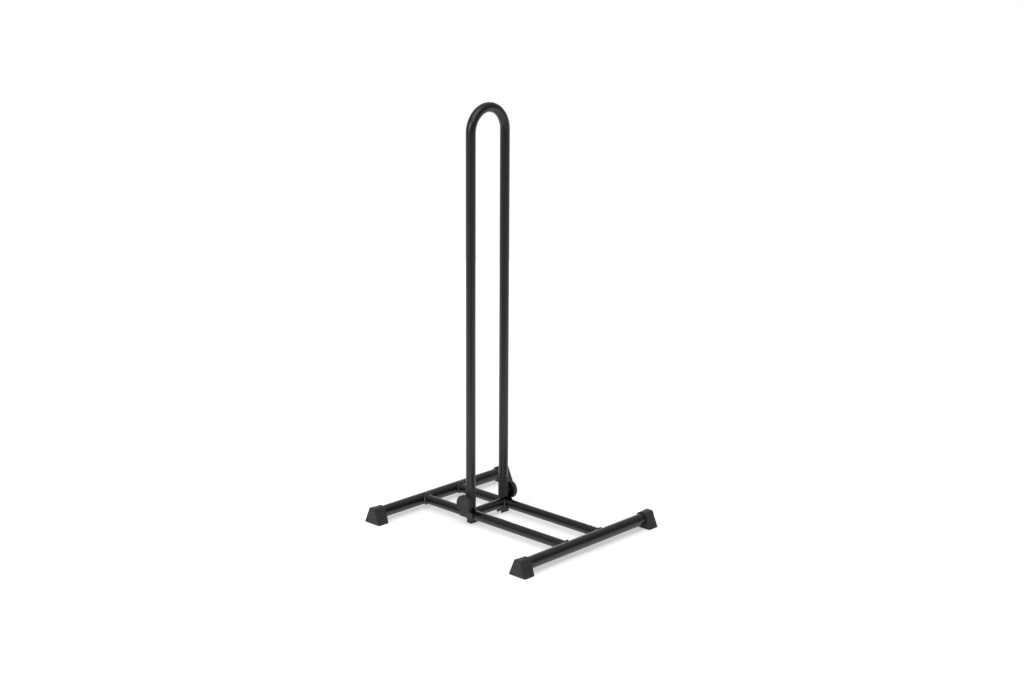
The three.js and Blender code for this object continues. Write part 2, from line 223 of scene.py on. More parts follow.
def makeMoulded(name, values):
    material, nodes, links, shader = startMaterial(name)
    coords = nodes.new("ShaderNodeTexCoord").outputs["Object"]
    cloud = addNoise(nodes, links, coords, mouldedValues["cloudScale"], detail=4)
    links.new(blendColours(nodes, links, cloud, values["dark"], values["light"]), shader.inputs["Base Color"])
    patches = addNoise(nodes, links, coords, mouldedValues["patchScale"], detail=5)
    links.new(mapTo(nodes, links, patches, *values["roughness"]), shader.inputs["Roughness"])
    grain = nodes.new("ShaderNodeTexVoronoi")
    grain.inputs["Scale"].default_value = values["grainScale"]
    links.new(coords, grain.inputs["Vector"])
    pebble = addBump(nodes, links, grain.outputs["Distance"], values["grainHeight"])
    wave = addNoise(nodes, links, coords, mouldedValues["waveScale"], detail=1)
    height, strength = mouldedValues["waveHeight"], mouldedValues["waveStrength"]
    links.new(addBump(nodes, links, wave, height, strength, below=pebble), shader.inputs["Normal"])
    shader.inputs["Specular IOR Level"].default_value = values["specular"]
    return material


metalValues = {
    "zinc": {
        "dark": (0.46, 0.47, 0.49),
        "light": (0.62, 0.63, 0.65),
        "roughness": (0.24, 0.40),
        "scale": 900.0,
    },
    "brass": {
        "dark": (0.55, 0.39, 0.16),
        "light": (0.71, 0.53, 0.25),
        "roughness": (0.22, 0.36),
        "scale": 700.0,
    },
    "blackened": {
        "dark": (0.050, 0.050, 0.053),
        "light": (0.075, 0.075, 0.080),
        "roughness": (0.30, 0.46),
        "scale": 800.0,
    },
    "toneShare": 0.25,  # of the scale, for the tone
    "stretch": (0.25, 1, 1),
    "grooveHeight": 0.00003,
}


def makeMetal(name, values):
    material, nodes, links, shader = startMaterial(name)
    coords = nodes.new("ShaderNodeTexCoord").outputs["Object"]
    scale = values["scale"]
    tone = addNoise(nodes, links, coords, scale * metalValues["toneShare"], detail=6, roughness=0.65)
    links.new(blendColours(nodes, links, tone, values["dark"], values["light"]), shader.inputs["Base Color"])
    links.new(mapTo(nodes, links, tone, *values["roughness"]), shader.inputs["Roughness"])
    turned = addNoise(nodes, links, coords, scale, detail=2, stretch=metalValues["stretch"])
    links.new(addBump(nodes, links, turned, metalValues["grooveHeight"]), shader.inputs["Normal"])
    shader.inputs["Metallic"].default_value = 1
    return material


nylonValues = {
    "dark": (0.72, 0.71, 0.66),
    "light": (0.80, 0.79, 0.75),
    "roughness": (0.42, 0.55),
    "cloudScale": 300.0,
    "bumpHeight": 0.00004,
}


def makeNylon(name, values):
    material, nodes, links, shader = startMaterial(name)
    coords = nodes.new("ShaderNodeTexCoord").outputs["Object"]
    cloud = addNoise(nodes, links, coords, values["cloudScale"], detail=4)
    links.new(blendColours(nodes, links, cloud, values["dark"], values["light"]), shader.inputs["Base Color"])
    links.new(mapTo(nodes, links, cloud, *values["roughness"]), shader.inputs["Roughness"])
    links.new(addBump(nodes, links, cloud, values["bumpHeight"]), shader.inputs["Normal"])
    return material


powderCoat = makePowderCoat("powder_coat", powderCoatValues)
weldCoat = makePowderCoat("weld_coat", weldCoatValues)
footPlastic = makeMoulded("foot_plastic", mouldedValues["foot"])
fittingPlastic = makeMoulded("fitting_plastic", mouldedValues["fitting"])
knobPlastic = makeMoulded("knob_plastic", mouldedValues["knob"])
zincSteel = makeMetal("zinc_steel", metalValues["zinc"])
blackSteel = makeMetal("black_steel", metalValues["blackened"])
brass = makeMetal("brass", metalValues["brass"])
nylon = makeNylon("nylon", nylonValues)
print("materials made")


# ---- Shaping helpers ----

mergeDistance = 0.0005

alongX = Matrix(((0, 0, 1, 0), (1, 0, 0, 0), (0, 1, 0, 0), (0, 0, 0, 1)))  # z of a shape turned to X, y to Z
alongY = Matrix(((-1, 0, 0, 0), (0, 0, 1, 0), (0, 1, 0, 0), (0, 0, 0, 1)))  # z turned to Y, y to Z


def newObject(name, bm):
    mesh = bpy.data.meshes.new(name)
    bm.to_mesh(mesh)
    bm.free()
    obj = bpy.data.objects.new(name, mesh)
    scene.collection.objects.link(obj)
    return obj


def applyModifiers(obj):
    graph = bpy.context.evaluated_depsgraph_get()
    mesh = bpy.data.meshes.new_from_object(obj.evaluated_get(graph))
    old = obj.data
    obj.modifiers.clear()
    obj.data = mesh
    bpy.data.meshes.remove(old)
    return obj


def combine(obj, operation, *tools):
    for tool in tools:
        modifier = obj.modifiers.new("combine", "BOOLEAN")
        modifier.operation = operation
        modifier.solver = "EXACT"
        modifier.object = tool
    applyModifiers(obj)
    for tool in tools:
        mesh = tool.data
        bpy.data.objects.remove(tool)
        bpy.data.meshes.remove(mesh)
    return obj


def soften(obj, width, segments=2, angle=40):
    modifier = obj.modifiers.new("soften", "BEVEL")
    modifier.width = width
    modifier.segments = segments
    modifier.limit_method = "ANGLE"
    modifier.angle_limit = math.radians(angle)
    modifier.miter_outer = "MITER_ARC"
    return applyModifiers(obj)


# Brings a shape to its place in metres and hands it to the frame.
def settle(obj, place, body, slot, material, *nodes, sharp=35):
    bm = bmesh.new()
    bm.from_mesh(obj.data)
    bmesh.ops.remove_doubles(bm, verts=bm.verts, dist=mergeDistance)
    matrix = toMetres @ place
    bmesh.ops.transform(bm, matrix=matrix, verts=bm.verts)
    if matrix.determinant() < 0:
        bmesh.ops.reverse_faces(bm, faces=bm.faces)
    bm.to_mesh(obj.data)
    bm.free()
    obj.data.shade_smooth()
    obj.data.set_sharp_from_angle(angle=math.radians(sharp))
    obj.modifiers.new("normals", "WEIGHTED_NORMAL").keep_sharp = True
    applyModifiers(obj)
    obj.data.materials.clear()
    obj.data.materials.append(material)
    if nodes:
        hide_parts(*nodes)
    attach(obj, body)
    return obj


def tubeRing(bm, outer, inner, segments):
    loops = [
        bmesh.ops.create_circle(bm, cap_ends=False, radius=radius, segments=segments)["verts"]
        for radius in (outer, inner)
    ]
    edges = {edge for loop in loops for vert in loop for edge in vert.link_edges}
    return bmesh.ops.bridge_loops(bm, edges=list(edges))["faces"]


# The edges go along, so that faces inside the shape aren't left behind.
def withEdges(faces):
    return faces + list({edge for face in faces for edge in face.edges})


def onlyVerts(items):
    return [item for item in items if isinstance(item, bmesh.types.BMVert)]


def onlyFaces(items):
    return [item for item in items if isinstance(item, bmesh.types.BMFace)]


def extrude(bm, faces, step):
    made = bmesh.ops.extrude_face_region(bm, geom=withEdges(faces))["geom"]
    bmesh.ops.translate(bm, vec=step, verts=onlyVerts(made))
    return onlyFaces(made)


def cylinder(name, radius, start, end, axis=Matrix(), at=(0, 0, 0), segments=64):
    bm = bmesh.new()
    bmesh.ops.create_cone(
        bm, cap_ends=True, segments=segments, radius1=radius, radius2=radius, depth=end - start,
    )
    bmesh.ops.translate(bm, vec=(0, 0, (start + end) / 2), verts=bm.verts)
    bmesh.ops.transform(bm, matrix=Matrix.Translation(at) @ axis, verts=bm.verts)
    return newObject(name, bm)


def block(name, low, high):
    bm = bmesh.new()
    low, high = Vector(low), Vector(high)
    bmesh.ops.create_cube(bm, size=1)
    bmesh.ops.scale(bm, vec=high - low, verts=bm.verts)
    bmesh.ops.translate(bm, vec=(low + high) / 2, verts=bm.verts)
    return newObject(name, bm)


# A profile of (radius, height) pairs, turned about Z.
def turn(name, profile, segments=64):
    bm = bmesh.new()
    verts = [bm.verts.new((radius, 0, height)) for radius, height in profile]
    edges = [bm.edges.new(pair) for pair in zip(verts, verts[1:])]
    if profile[0][0] > 0:
        edges.append(bm.edges.new((verts[-1], verts[0])))
    bmesh.ops.spin(
        bm, geom=verts + edges, cent=(0, 0, 0), axis=(0, 0, 1), angle=2 * math.pi,
        steps=segments, use_merge=True, use_duplicate=False,
    )
    bmesh.ops.remove_doubles(bm, verts=bm.verts, dist=mergeDistance)
    bmesh.ops.recalc_face_normals(bm, faces=bm.faces)
    return newObject(name, bm)


# A flat outline with some of its corners rounded, given a thickness along Z.
def plateShape(name, points, thickness, rounded=(), segments=6):
    bm = bmesh.new()
    verts = [bm.verts.new((x, y, 0)) for x, y in points]
    bm.faces.new(verts)
    for index, radius in rounded:
        bmesh.ops.bevel(
            bm, geom=[verts[index]], offset=radius, affect="VERTICES",
            segments=segments, profile=0.5, material=-1,
        )
    extrude(bm, bm.faces[:], (0, 0, thickness))
    bmesh.ops.recalc_face_normals(bm, faces=bm.faces)
    return newObject(name, bm)


# ---- Foot bars, rails and cross tube ----

tubeValues = {
    "segments": 96,
    "barWall": 1.5,
    "railWall": 1.2,
    "weldGap": 0.05,  # between a coped end and the tube it meets
}


# Along Z about its middle. The ends are coped to tubes that lie along X, when their radius is given.
def straightTube(name, radius, wall, length, copeRadius=None):
    bm = bmesh.new()
    faces = tubeRing(bm, radius, radius - wall, tubeValues["segments"])
    bmesh.ops.translate(bm, vec=(0, 0, -length / 2), verts=bm.verts)
    extrude(bm, faces, (0, 0, length))
    bmesh.ops.recalc_face_normals(bm, faces=bm.faces)
    if copeRadius:
        for vert in bm.verts:
            shift = math.sqrt(max(copeRadius ** 2 - vert.co.y ** 2, 0))
            vert.co.z -= math.copysign(shift, vert.co.z)
    return newObject(name, bm)


crossPlace = Matrix.Translation((0, layout["hoopPlane"] - layout["crossLead"], layout["barHeight"])) @ alongX


def addTubes(values):
    height = layout["barHeight"]
    for end, sign in ends:
        bar = straightTube(f"{end}FootBar", layout["barRadius"], values["barWall"], layout["barLength"])
        place = Matrix.Translation((0, sign * layout["barY"], height)) @ alongX
        settle(bar, place, "base", "powder_coat", powderCoat, f"{end}_foot_bar")
    for side, sign in sides:
        coped = layout["barRadius"] + values["weldGap"]
        rail = straightTube(
            f"{side}Rail", layout["railRadius"], values["railWall"], layout["barSpacing"], coped,
        )
        place = Matrix.Translation((sign * layout["railX"], 0, height)) @ alongY
        settle(rail, place, "base", "powder_coat", powderCoat, f"{side}_rail")
    coped = layout["railRadius"] + values["weldGap"]
    cross = straightTube("crossTube", layout["railRadius"], values["railWall"], 2 * layout["railX"], coped)
    settle(cross, crossPlace, "base", "powder_coat", powderCoat, "cross_tube")


addTubes(tubeValues)
print("base tubes made")


# ---- Weld beads ----

weldValues = {
    "beadRadius": 2.4,
    "stand": 0.7,  # of the bead's centre, outside both surfaces
    "groundTop": 0.4,  # over the cross tube, where the leg fittings swing past
    "ripples": 27,
    "rippleDepth": 0.15,
    "waver": 0.14,
    "segments": 12,
    "steps": 136,
    "railPhases": (0.4, 2.1),  # where the ripples start, at the front and the rear
    "crossPhases": (1.3, 3.2),
}


# A circle that stands upright in the XZ plane.
def beadCircle(bm, radius):
    circle = bmesh.ops.create_circle(bm, cap_ends=False, radius=radius, segments=weldValues["segments"])
    verts = circle["verts"]
    bmesh.ops.rotate(bm, cent=(0, 0, 0), matrix=Matrix.Rotation(math.pi / 2, 3, "X"), verts=verts)
    return verts


# The bead round the coped end of a tube along Z, where it meets a tube along X. A top grinds it flat.
def weldRing(bm, tubeRadius, reach, otherRadius, end, phase, values, top=math.inf):
    around, across = tubeRadius + values["stand"], otherRadius + values["stand"]
    verts = beadCircle(bm, values["beadRadius"])
    bmesh.ops.translate(bm, vec=(around, 0, 0), verts=verts)
    before = set(bm.verts) - set(verts)
    bmesh.ops.spin(
        bm, geom=verts + list({edge for vert in verts for edge in vert.link_edges}), cent=(0, 0, 0),
        axis=(0, 0, 1), angle=2 * math.pi, steps=values["steps"], use_merge=True, use_duplicate=False,
    )
    for vert in set(bm.verts) - before:
        angle = math.atan2(vert.co.y, vert.co.x)
        centre = Vector((around * math.cos(angle), around * math.sin(angle), 0))
        swell = 1 + values["rippleDepth"] * math.sin(values["ripples"] * angle + phase)
        swell += values["waver"] * math.sin(3 * angle + 2 * phase) * math.cos(2 * angle)
        offset = (vert.co - centre) * swell
        saddle = reach - math.sqrt(max(across ** 2 - centre.y ** 2, 0))
        vert.co = centre + offset + Vector((0, 0, end * saddle))
        vert.co.y = min(vert.co.y, top)


def addWelds(values):
    height = layout["barHeight"]
    for side, sign in sides:
        bm = bmesh.new()
        for phase, end in zip(values["railPhases"], (-1, 1)):
            weldRing(bm, layout["railRadius"], layout["barY"], layout["barRadius"], end, phase + sign, values)
        bmesh.ops.recalc_face_normals(bm, faces=bm.faces)
        place = Matrix.Translation((sign * layout["railX"], 0, height)) @ alongY
        settle(newObject(f"{side}RailWelds", bm), place, "base", "powder_coat", weldCoat, sharp=80)
    bm = bmesh.new()
    ground = layout["railRadius"] + values["groundTop"]
    for phase, end in zip(values["crossPhases"], (-1, 1)):
        weldRing(bm, layout["railRadius"], layout["railX"], layout["railRadius"], end, phase, values, ground)
    bmesh.ops.recalc_face_normals(bm, faces=bm.faces)
    settle(newObject("crossTubeWelds", bm), crossPlace, "base", "powder_coat", weldCoat, sharp=80)


addWelds(weldValues)
print("weld beads laid")


# ---- Foot caps ----

capValues = {
    "length": 28.5,
    "endWall": 5.5,
    "baseWidth": 46.8,
    "topWidth": 16.6,  # of the end face, before its corners are rounded
    "topWall": 2.5,  # from the bar's surface to the cap's
    "round": 3.0,  # of the end face's edges and the base's corners
    "baseEdge": 1.0,
    "lip": 0.6,
    "lipLength": 2.2,
    "lipEdge": 0.35,
    "boreRadius": 12.85,
    "fitGap": 0.3,  # between the bar's end and the cap's end wall
    "flat": 0.4,  # degrees under which faces of the hull become one
    "segments": 96,
    "cornerSegments": 40,
}


# Closed hull round all the points.
def wrap(name, bm, flat):
    hull = bmesh.ops.convex_hull(bm, input=bm.verts[:])
    spare = onlyVerts(hull["geom_interior"] + hull["geom_unused"])
    bmesh.ops.delete(bm, geom=list(set(spare)), context="VERTS")
    bmesh.ops.delete(bm, geom=[edge for edge in bm.edges if not edge.link_faces], context="EDGES")
    bmesh.ops.dissolve_limit(bm, angle_limit=math.radians(flat), verts=bm.verts[:], edges=bm.edges[:])
    bmesh.ops.recalc_face_normals(bm, faces=bm.faces)
    return newObject(name, bm)


def addCircle(bm, radius, place, segments):
    ring = bmesh.ops.create_circle(bm, cap_ends=False, radius=radius, segments=segments)["verts"]
    bmesh.ops.transform(bm, matrix=place, verts=ring)


# Cap for the +X end of a bar, with its open end at x = 0 and its base on the floor.
def capShape(name, values):
    height, ease, edge = layout["barHeight"], values["round"], values["baseEdge"]
    radius = layout["barRadius"] + values["topWall"]
    top, halfBase = height + radius, values["baseWidth"] / 2
    lean = halfBase - values["topWidth"] / 2
    ballHeight = top - ease
    ballY = halfBase - (ease * math.hypot(top, lean) + lean * ballHeight) / top
    cornerY = halfBase - ease - edge * lean / top
    outerX = values["length"] - ease
    bm = bmesh.new()
    for x in (0, values["lipLength"]):
        addCircle(bm, radius, Matrix.Translation((x, 0, height)) @ alongX, values["segments"])
    for side in (-1, 1):
        place = Matrix.Translation((outerX, side * ballY, ballHeight))
        around = values["cornerSegments"]
        bmesh.ops.create_uvsphere(bm, u_segments=around, v_segments=around // 2, radius=ease, matrix=place)
        for x in (ease, outerX):
            for turned in (0, 30, 60, 90):
                shrink, rise = (edge * (1 - wave(math.radians(turned))) for wave in (math.sin, math.cos))
                addCircle(bm, ease - shrink, Matrix.Translation((x, side * cornerY, rise)), around)
    body = wrap(name, bm, values["flat"])
    bm = bmesh.new()
    for x in (0, values["lipLength"]):
        place = Matrix.Translation((x, 0, height)) @ alongX
        addCircle(bm, radius + values["lip"], place, values["segments"])
        for y in (-cornerY, cornerY):
            for z in (0, 1):
                bm.verts.new((x, y, z))
    lip = soften(wrap("lip", bm, values["flat"]), values["lipEdge"], segments=3, angle=60)
    combine(body, "UNION", lip)
    depth = values["length"] - values["endWall"]
    around = values["segments"]
    bore = cylinder("bore", values["boreRadius"], -1, depth, alongX, (0, 0, height), segments=around)
    return combine(body, "DIFFERENCE", bore)


def addCaps(values):
    start = layout["barLength"] / 2 + values["fitGap"] + values["endWall"] - values["length"]
    for end, ySign in ends:
        for side, xSign in sides:
            cap = capShape(f"{end}{side.title()}FootCap", values)
            facing = Matrix.Rotation(0 if xSign > 0 else math.pi, 4, "Z")
            place = Matrix.Translation((xSign * start, ySign * layout["barY"], 0)) @ facing
            settle(cap, place, "base", "foot_plastic", footPlastic, f"{end}_{side}_foot_cap", sharp=40)


addCaps(capValues)
print("foot caps made")


# ---- Hinge brackets and middle feet ----

bracketValues = {
    "earRadius": 10.0,
    "waistWidth": 23.0,  # where the ear leaves the rail's top
    "waistHeight": 28.8,
    "baseWidth": 38.0,
    "baseTop": 23.0,
    "baseBottom": 13.0,
    "cornerRound": 1.5,
    "steps": 40,  # round the ear
    "edge": 0.3,
    "beadRadius": 1.5,
    "beadInset": 1,  # from the plate's ends
    "beadSteps": 48,
    "beadRise": 0.40,  # over the rail's middle, as a share of its radius
    "beadStand": 0.35,  # off the rail, as a share of the bead's radius
    "beadEnds": 0.45,
    "beadRipples": ((0.10, 2.2, 0), (0.06, 0.9, 1)),  # height, pace along the rail and start
}


# The ear plate on the right rail. Its origin is on the floor under the hoop's plane.
def bracketShape(name, values):
    waist, base, radius = values["waistWidth"] / 2, values["baseWidth"] / 2, values["earRadius"]
    outer, inner = layout["earOuter"], layout["earInner"]
    pivotHeight = layout["pivotHeight"]
    drop = pivotHeight - values["waistHeight"]
    lean = math.atan2(waist, drop) - math.acos(radius / math.hypot(waist, drop))
    outline = [(-base, values["baseBottom"]), (base, values["baseBottom"]), (base, values["baseTop"])]
    outline.append((waist, values["waistHeight"]))
    for step in range(values["steps"] + 1):
        angle = lean + (math.pi - 2 * lean) * step / values["steps"]
        outline.append((radius * math.cos(angle), pivotHeight + radius * math.sin(angle)))
    outline += [(-waist, values["waistHeight"]), (-base, values["baseTop"])]
    rounded = [(corner, values["cornerRound"]) for corner in (0, 1)]
    ear = plateShape(name, outline, outer - inner, rounded)
    ear.data.transform(Matrix.Translation((inner, 0, 0)) @ alongX)
    at = (0, 0, pivotHeight)
    bolt = cylinder("boltRoom", layout["boltHole"] / 2, inner - 1, outer + 1, alongX, at, segments=48)
    combine(ear, "DIFFERENCE", bolt)
    return soften(ear, values["edge"], segments=2, angle=50)


# The weld bead in the groove between the ear's inner side and the rail.
def earBead(name, values):
    bm = bmesh.new()
    radius, count = values["beadRadius"], values["beadSteps"]
    reach = values["baseWidth"] / 2 - values["beadInset"]
    rise = layout["railRadius"] * values["beadRise"]
    side = layout["railX"] + math.sqrt(layout["railRadius"] ** 2 - rise ** 2) + radius * values["beadStand"]
    rings = []
    for index in range(count + 1):
        along = reach * (2 * index / count - 1)
        swell = 1 + sum(part * math.sin(pace * along + start) for part, pace, start in values["beadRipples"])
        if index in (0, count):
            swell *= values["beadEnds"]
        ring = beadCircle(bm, radius * swell)
        bmesh.ops.translate(bm, vec=(side, along, layout["barHeight"] + rise), verts=ring)
        rings.append(list({edge for vert in ring for edge in vert.link_edges}))
    for first, second in zip(rings, rings[1:]):
        bmesh.ops.bridge_loops(bm, edges=first + second)
    bmesh.ops.holes_fill(bm, edges=[edge for edge in bm.edges if edge.is_boundary], sides=0)
    bmesh.ops.recalc_face_normals(bm, faces=bm.faces)
    return newObject(name, bm)


footValues = {
    "plate": 2.0,
    "width": 15.1,  # along the rail
    "lead": 3.0,  # middle of the foot in front of the hoop
    "inner": 34.4,  # open end
    "outer": 58.6,
    "clearance": 0.4,
    "tubeGap": 0.1,  # to the tubes over it
    "roomReach": 60,
    "bendRadius": 2.6,
    "bendSegments": 6,
    "edge": 0.3,
}


# The channel under the right rail, open towards the left rail and coped to the tubes over it.
def middleFootShape(name, values):
    front, rear = -values["lead"] - values["width"] / 2, -values["lead"] + values["width"] / 2
    outer, inner = values["outer"], values["inner"]
    bm = bmesh.new()
    path = [(inner, front), (outer, front), (outer, rear), (inner, rear)]
    verts = [bm.verts.new((x, y, values["clearance"])) for x, y in path]
    for pair in zip(verts, verts[1:]):
        bm.edges.new(pair)
    bmesh.ops.bevel(
        bm, geom=verts[1:3], offset=values["bendRadius"], affect="VERTICES",
        segments=values["bendSegments"], profile=0.5, material=-1,
    )
    made = bmesh.ops.extrude_edge_only(bm, edges=bm.edges[:])["geom"]
    rise = layout["barHeight"] - layout["railRadius"] / 2 - values["clearance"]
    bmesh.ops.translate(bm, vec=(0, 0, rise), verts=onlyVerts(made))
    bmesh.ops.recalc_face_normals(bm, faces=bm.faces)
    web = max(bm.faces, key=lambda face: face.calc_center_median().x)
    if web.normal.x < 0:
        bmesh.ops.reverse_faces(bm, faces=bm.faces)
    channel = newObject(name, bm)
    modifier = channel.modifiers.new("plate", "SOLIDIFY")
    modifier.thickness = values["plate"]
    modifier.offset = -1
    modifier.use_even_offset = True
    applyModifiers(channel)
    room, height, railX = layout["railRadius"] + values["tubeGap"], layout["barHeight"], layout["railX"]
    reach, around = values["roomReach"], tubeValues["segments"]
    rail = cylinder("railRoom", room, -reach, reach, alongY, (railX, 0, height), segments=around)
    cross = cylinder("crossRoom", room, 0, railX, alongX, (0, -layout["crossLead"], height), segments=around)
    combine(channel, "DIFFERENCE", rail, cross)
    return soften(channel, values["edge"], segments=2, angle=50)


def addBrackets():
    for side, sign in sides:
        place = Matrix.Translation((0, layout["hoopPlane"], 0)) @ Matrix.Scale(sign, 4, (1, 0, 0))
        bracket = bracketShape(f"{side}HingeBracket", bracketValues)
        settle(bracket, place, "base", "powder_coat", powderCoat, f"{side}_hinge_bracket", sharp=40)
        bead = earBead(f"{side}EarWeld", bracketValues)
        settle(bead, place, "base", "powder_coat", weldCoat, sharp=80)
        foot = middleFootShape(f"{side}MiddleFoot", footValues)
        settle(foot, place, "base", "powder_coat", powderCoat, f"{side}_middle_foot", sharp=40)


addBrackets()
print("hinge brackets and middle feet made")


# ---- Hoop ----

hoopValues = {
    "radius": 10.3,
    "wall": 1.2,
    "top": 891.8,
    "seam": 0.15,  # gap over the leg fitting
    "bendSteps": 72,
    "ventRadius": 1.6,
    "ventDrop": 6.0,  # under the start of the bend
    "ventTurn": 38.0,  # degrees from the inner side towards the front
    "ventRoom": 4,  # of plain tube over and under it
    "ventReach": (4, 14),  # of the drill, from the middle of the leg
}


def hoopShape(name, values):
    bm = bmesh.new()
    legX = layout["legX"]
    start = layout["fittingTop"] - layout["pivotHeight"] + values["seam"]
    bend = values["top"] - layout["pivotHeight"] - values["radius"] - legX
    ventHeight = bend - values["ventDrop"]
    faces = tubeRing(bm, values["radius"], values["radius"] - values["wall"], tubeValues["segments"])
    bmesh.ops.translate(bm, vec=(-legX, 0, start), verts=bm.verts)
    faces = extrude(bm, faces, (0, 0, bend - start))
    spun = bmesh.ops.spin(
        bm, geom=withEdges(faces), cent=(0, 0, bend), axis=(0, 1, 0), angle=math.pi,
        steps=values["bendSteps"], use_merge=False, use_duplicate=False,
    )
    faces = onlyFaces(spun["geom_last"])
    levels = (bend, ventHeight + values["ventRoom"], ventHeight - values["ventRoom"], start)
    for upper, lower in zip(levels, levels[1:]):
        faces = extrude(bm, faces, (0, 0, lower - upper))
    bmesh.ops.recalc_face_normals(bm, faces=bm.faces)
    hoop = newObject(name, bm)
    towards = Matrix.Rotation(math.radians(180 + values["ventTurn"]), 4, "Z") @ alongX
    at = (legX, 0, ventHeight)
    vent = cylinder("vent", values["ventRadius"], *values["ventReach"], towards, at, segments=32)
    return combine(hoop, "DIFFERENCE", vent)


hinge = Matrix.Translation(pivot)
settle(hoopShape("hoopTube", hoopValues), hinge, "hoop", "powder_coat", powderCoat, "hoop", sharp=40)
print("hoop made")


# ---- Leg fittings and rivets ----

fittingValues = {
    "radius": 10.95,
    "endRadius": 14.2,  # of the lower end, about the pivot
    "bossRadius": 8.0,
    "shoulderRound": 0.6,
    "spigotRadius": 8.85,
    "spigotLength": 28.0,
    "pocketDepth": 4.3,
    "pocketRadius": 6.12,
    "rivetHeight": 14.3,
    "rivetHead": 4.0,
    "rivetDome": 1.1,
    "rivetRadius": 2.0,
    "rivetLength": 6.0,
    "rivetSink": 0.05,  # into the tube
    "rivetFoot": (0.97, 0.15),  # width of the head at the tube and height of its widest place, as shares
    "rivetDimple": ((0.26, 0.0), (0.24, 0.5), (0.0, 0.55)),  # width as a share, and depth
    "rivetGap": 0.3,
    "rivetRoom": (3, 12),
    "keptHalf": 20,  # half width and top of all that the round end doesn't trim
    "keptTop": 90,
    "throughReach": 12,
    "edge": 0.35,
}


# The end piece of the right leg, with its bearing face towards +X.
def fittingShape(name, values):
    radius, endRadius = values["radius"], values["endRadius"]
    shoulder = layout["fittingTop"] - layout["pivotHeight"]
    ease = values["shoulderRound"]
    fitting = turn(name, [
        (0, -endRadius - 1), (radius, -endRadius - 1), (radius, shoulder - ease),
        (radius - ease * 0.3, shoulder - ease * 0.3), (radius - ease, shoulder),
        (values["spigotRadius"], shoulder), (values["spigotRadius"], shoulder + values["spigotLength"]),
        (0, shoulder + values["spigotLength"]),
    ], segments=96)
    half = values["keptHalf"]
    kept = block("kept", (-half, -half, 0), (half, half, values["keptTop"]))
    combine(kept, "UNION", cylinder("roundEnd", endRadius, -half, half, alongX, segments=120))
    combine(fitting, "INTERSECT", kept)
    combine(fitting, "UNION", cylinder("boss", values["bossRadius"], 1, radius, alongX))
    depth = values["pocketDepth"] - radius
    pocket = cylinder("pocket", values["pocketRadius"], -radius - 5, depth, alongX, segments=6)
    reach = values["throughReach"]
    through = cylinder("through", layout["boltHole"] / 2, -reach, reach, alongX, segments=48)
    rivetAt = (0, 0, shoulder + values["rivetHeight"])
    rivetRadius = values["rivetRadius"] + values["rivetGap"]
    rivetRoom = cylinder("rivetRoom", rivetRadius, *values["rivetRoom"], alongY, rivetAt, segments=32)
    combine(fitting, "DIFFERENCE", pocket, through, rivetRoom)
    return soften(fitting, values["edge"], segments=2, angle=45)


def rivetShape(name, values):
    start = hoopValues["radius"] - values["rivetSink"]
    dome, head, shank = values["rivetDome"], values["rivetHead"], values["rivetRadius"]
    narrow, widest = values["rivetFoot"]
    profile = [(0, start - values["rivetLength"]), (shank, start - values["rivetLength"])]
    profile += [(shank, start), (head * narrow, start), (head, start + widest * dome)]
    for angle in map(math.radians, (25, 45, 65)):
        profile.append((head * math.cos(angle), start + dome * math.sin(angle)))
    profile += [(head * width, start + dome - depth) for width, depth in values["rivetDimple"]]
    return turn(name, profile, segments=48)


# Places a shape that is made for the right leg, about the pivot, and mirrors it for the left leg.
def legPlace(sign):
    shift = Matrix.Translation(pivot + Vector((sign * layout["legX"], 0, 0)))
    return shift @ Matrix.Scale(sign, 4, (1, 0, 0))


def addFittings(values):
    for side, sign in sides:
        leg = legPlace(sign)
        fitting = fittingShape(f"{side}LegFitting", values)
        settle(fitting, leg, "hoop", "fitting_plastic", fittingPlastic, f"{side}_leg_fitting", sharp=40)
        lift = layout["fittingTop"] - layout["pivotHeight"] + values["rivetHeight"]
        place = leg @ Matrix.Translation((0, 0, lift)) @ alongY
        rivet = rivetShape(f"{side}FittingRivet", values)
        settle(rivet, place, "hoop", "black_steel", blackSteel, f"{side}_fitting_rivet", sharp=30)


addFittings(fittingValues)
print("leg fittings made")


# ---- Hinge bolts, washers and knobs, made along X outwards from the axis of the right leg ----

boltValues = {
    "radius": 2.95,
    "rootRadius": 2.5,
    "pitch": 1.0,
    "threadStart": 12.25,
    "tip": 20.75,
    "headFace": -10.35,
    "headHeight": 3.4,
    "headRadius": 5.75,
    "headChamfer": 0.7,
    "coneSpare": 0.6,  # past the corners, of the cone that chamfers the head
    "plainTip": 0.6,  # at least, after the last thread
    "dish": ((0, 0.5), (2.6, 0.4), (3.2, -1), (0, -1)),  # radius and depth
}


def boltShape(name, values):
    end = values["headFace"] + values["headHeight"]
    profile = [(0, end - 1), (values["radius"], end - 1), (values["radius"], values["threadStart"])]
    height = values["threadStart"]
    while height + values["pitch"] < values["tip"] - values["plainTip"]:
        profile.append((values["rootRadius"], height + values["pitch"] / 2))
        height += values["pitch"]
        profile.append((values["radius"], height))
    profile += [(values["rootRadius"], values["tip"]), (0, values["tip"])]
    shank = turn("shank", profile, segments=48)
    corner, chamfer, face = values["headRadius"], values["headChamfer"], values["headFace"]
    head = cylinder(name, corner, face, end, segments=6)
    cone = turn("cone", [
        (0, face), (corner - chamfer, face), (corner + values["coneSpare"], face + chamfer),
        (corner + values["coneSpare"], end + 1), (0, end + 1),
    ])
    combine(head, "INTERSECT", cone)
    combine(head, "UNION", shank)
    combine(head, "DIFFERENCE", turn("dish", [(radius, face + depth) for radius, depth in values["dish"]]))
    head.data.transform(alongX)
    return head


